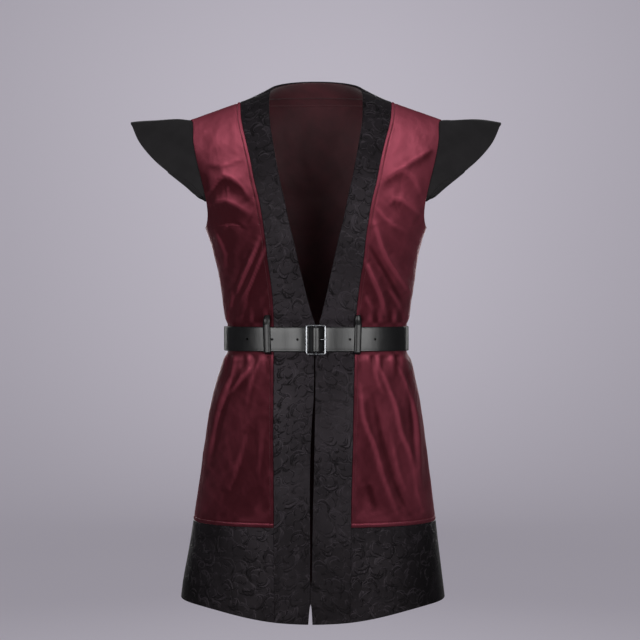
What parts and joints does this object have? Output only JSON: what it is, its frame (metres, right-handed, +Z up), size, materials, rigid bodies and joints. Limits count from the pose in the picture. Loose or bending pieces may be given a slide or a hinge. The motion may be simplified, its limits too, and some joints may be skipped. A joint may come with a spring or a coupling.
{
  "type": "medieval vest",
  "caption": "Sleeveless medieval costume vest with open V neck, brocade bands, pointed shoulder wings and a buckled belt, in its worn shape.",
  "frame": {"origin": "midway between the two side-neck points, where the shoulder seams meet the neck edge and the vest rests on its wearer", "axes": "+Z up along the worn vest, -Y out of its front, +X towards the wearer's left"},
  "size_m": [0.618, 0.3025, 0.886],
  "materials": {
    "velvet": "burgundy velvet with a soft sheen",
    "brocade": "black satin brocade with raised scrolls",
    "plain_cloth": "matt black cloth",
    "lining": "plain maroon lining",
    "belt_leather": "smooth black, semi gloss",
    "buckle_metal": "dark polished gunmetal"
  },
  "bodies": {
    "root": {"front_velvet_right": "velvet", "front_velvet_left": "velvet", "back_velvet": "velvet", "front_band_right": "brocade", "front_band_left": "brocade", "hem_front_right": "brocade", "hem_front_left": "brocade", "hem_back": "brocade", "back_neck_band": "brocade", "back_neck_facing": "lining", "wing_right": "plain_cloth", "wing_left": "plain_cloth", "belt_loop_right": "plain_cloth", "belt_loop_left": "plain_cloth", "belt_strap": "belt_leather", "buckle_frame": "buckle_metal", "buckle_prong": "buckle_metal"}
  },
  "joints": []
}
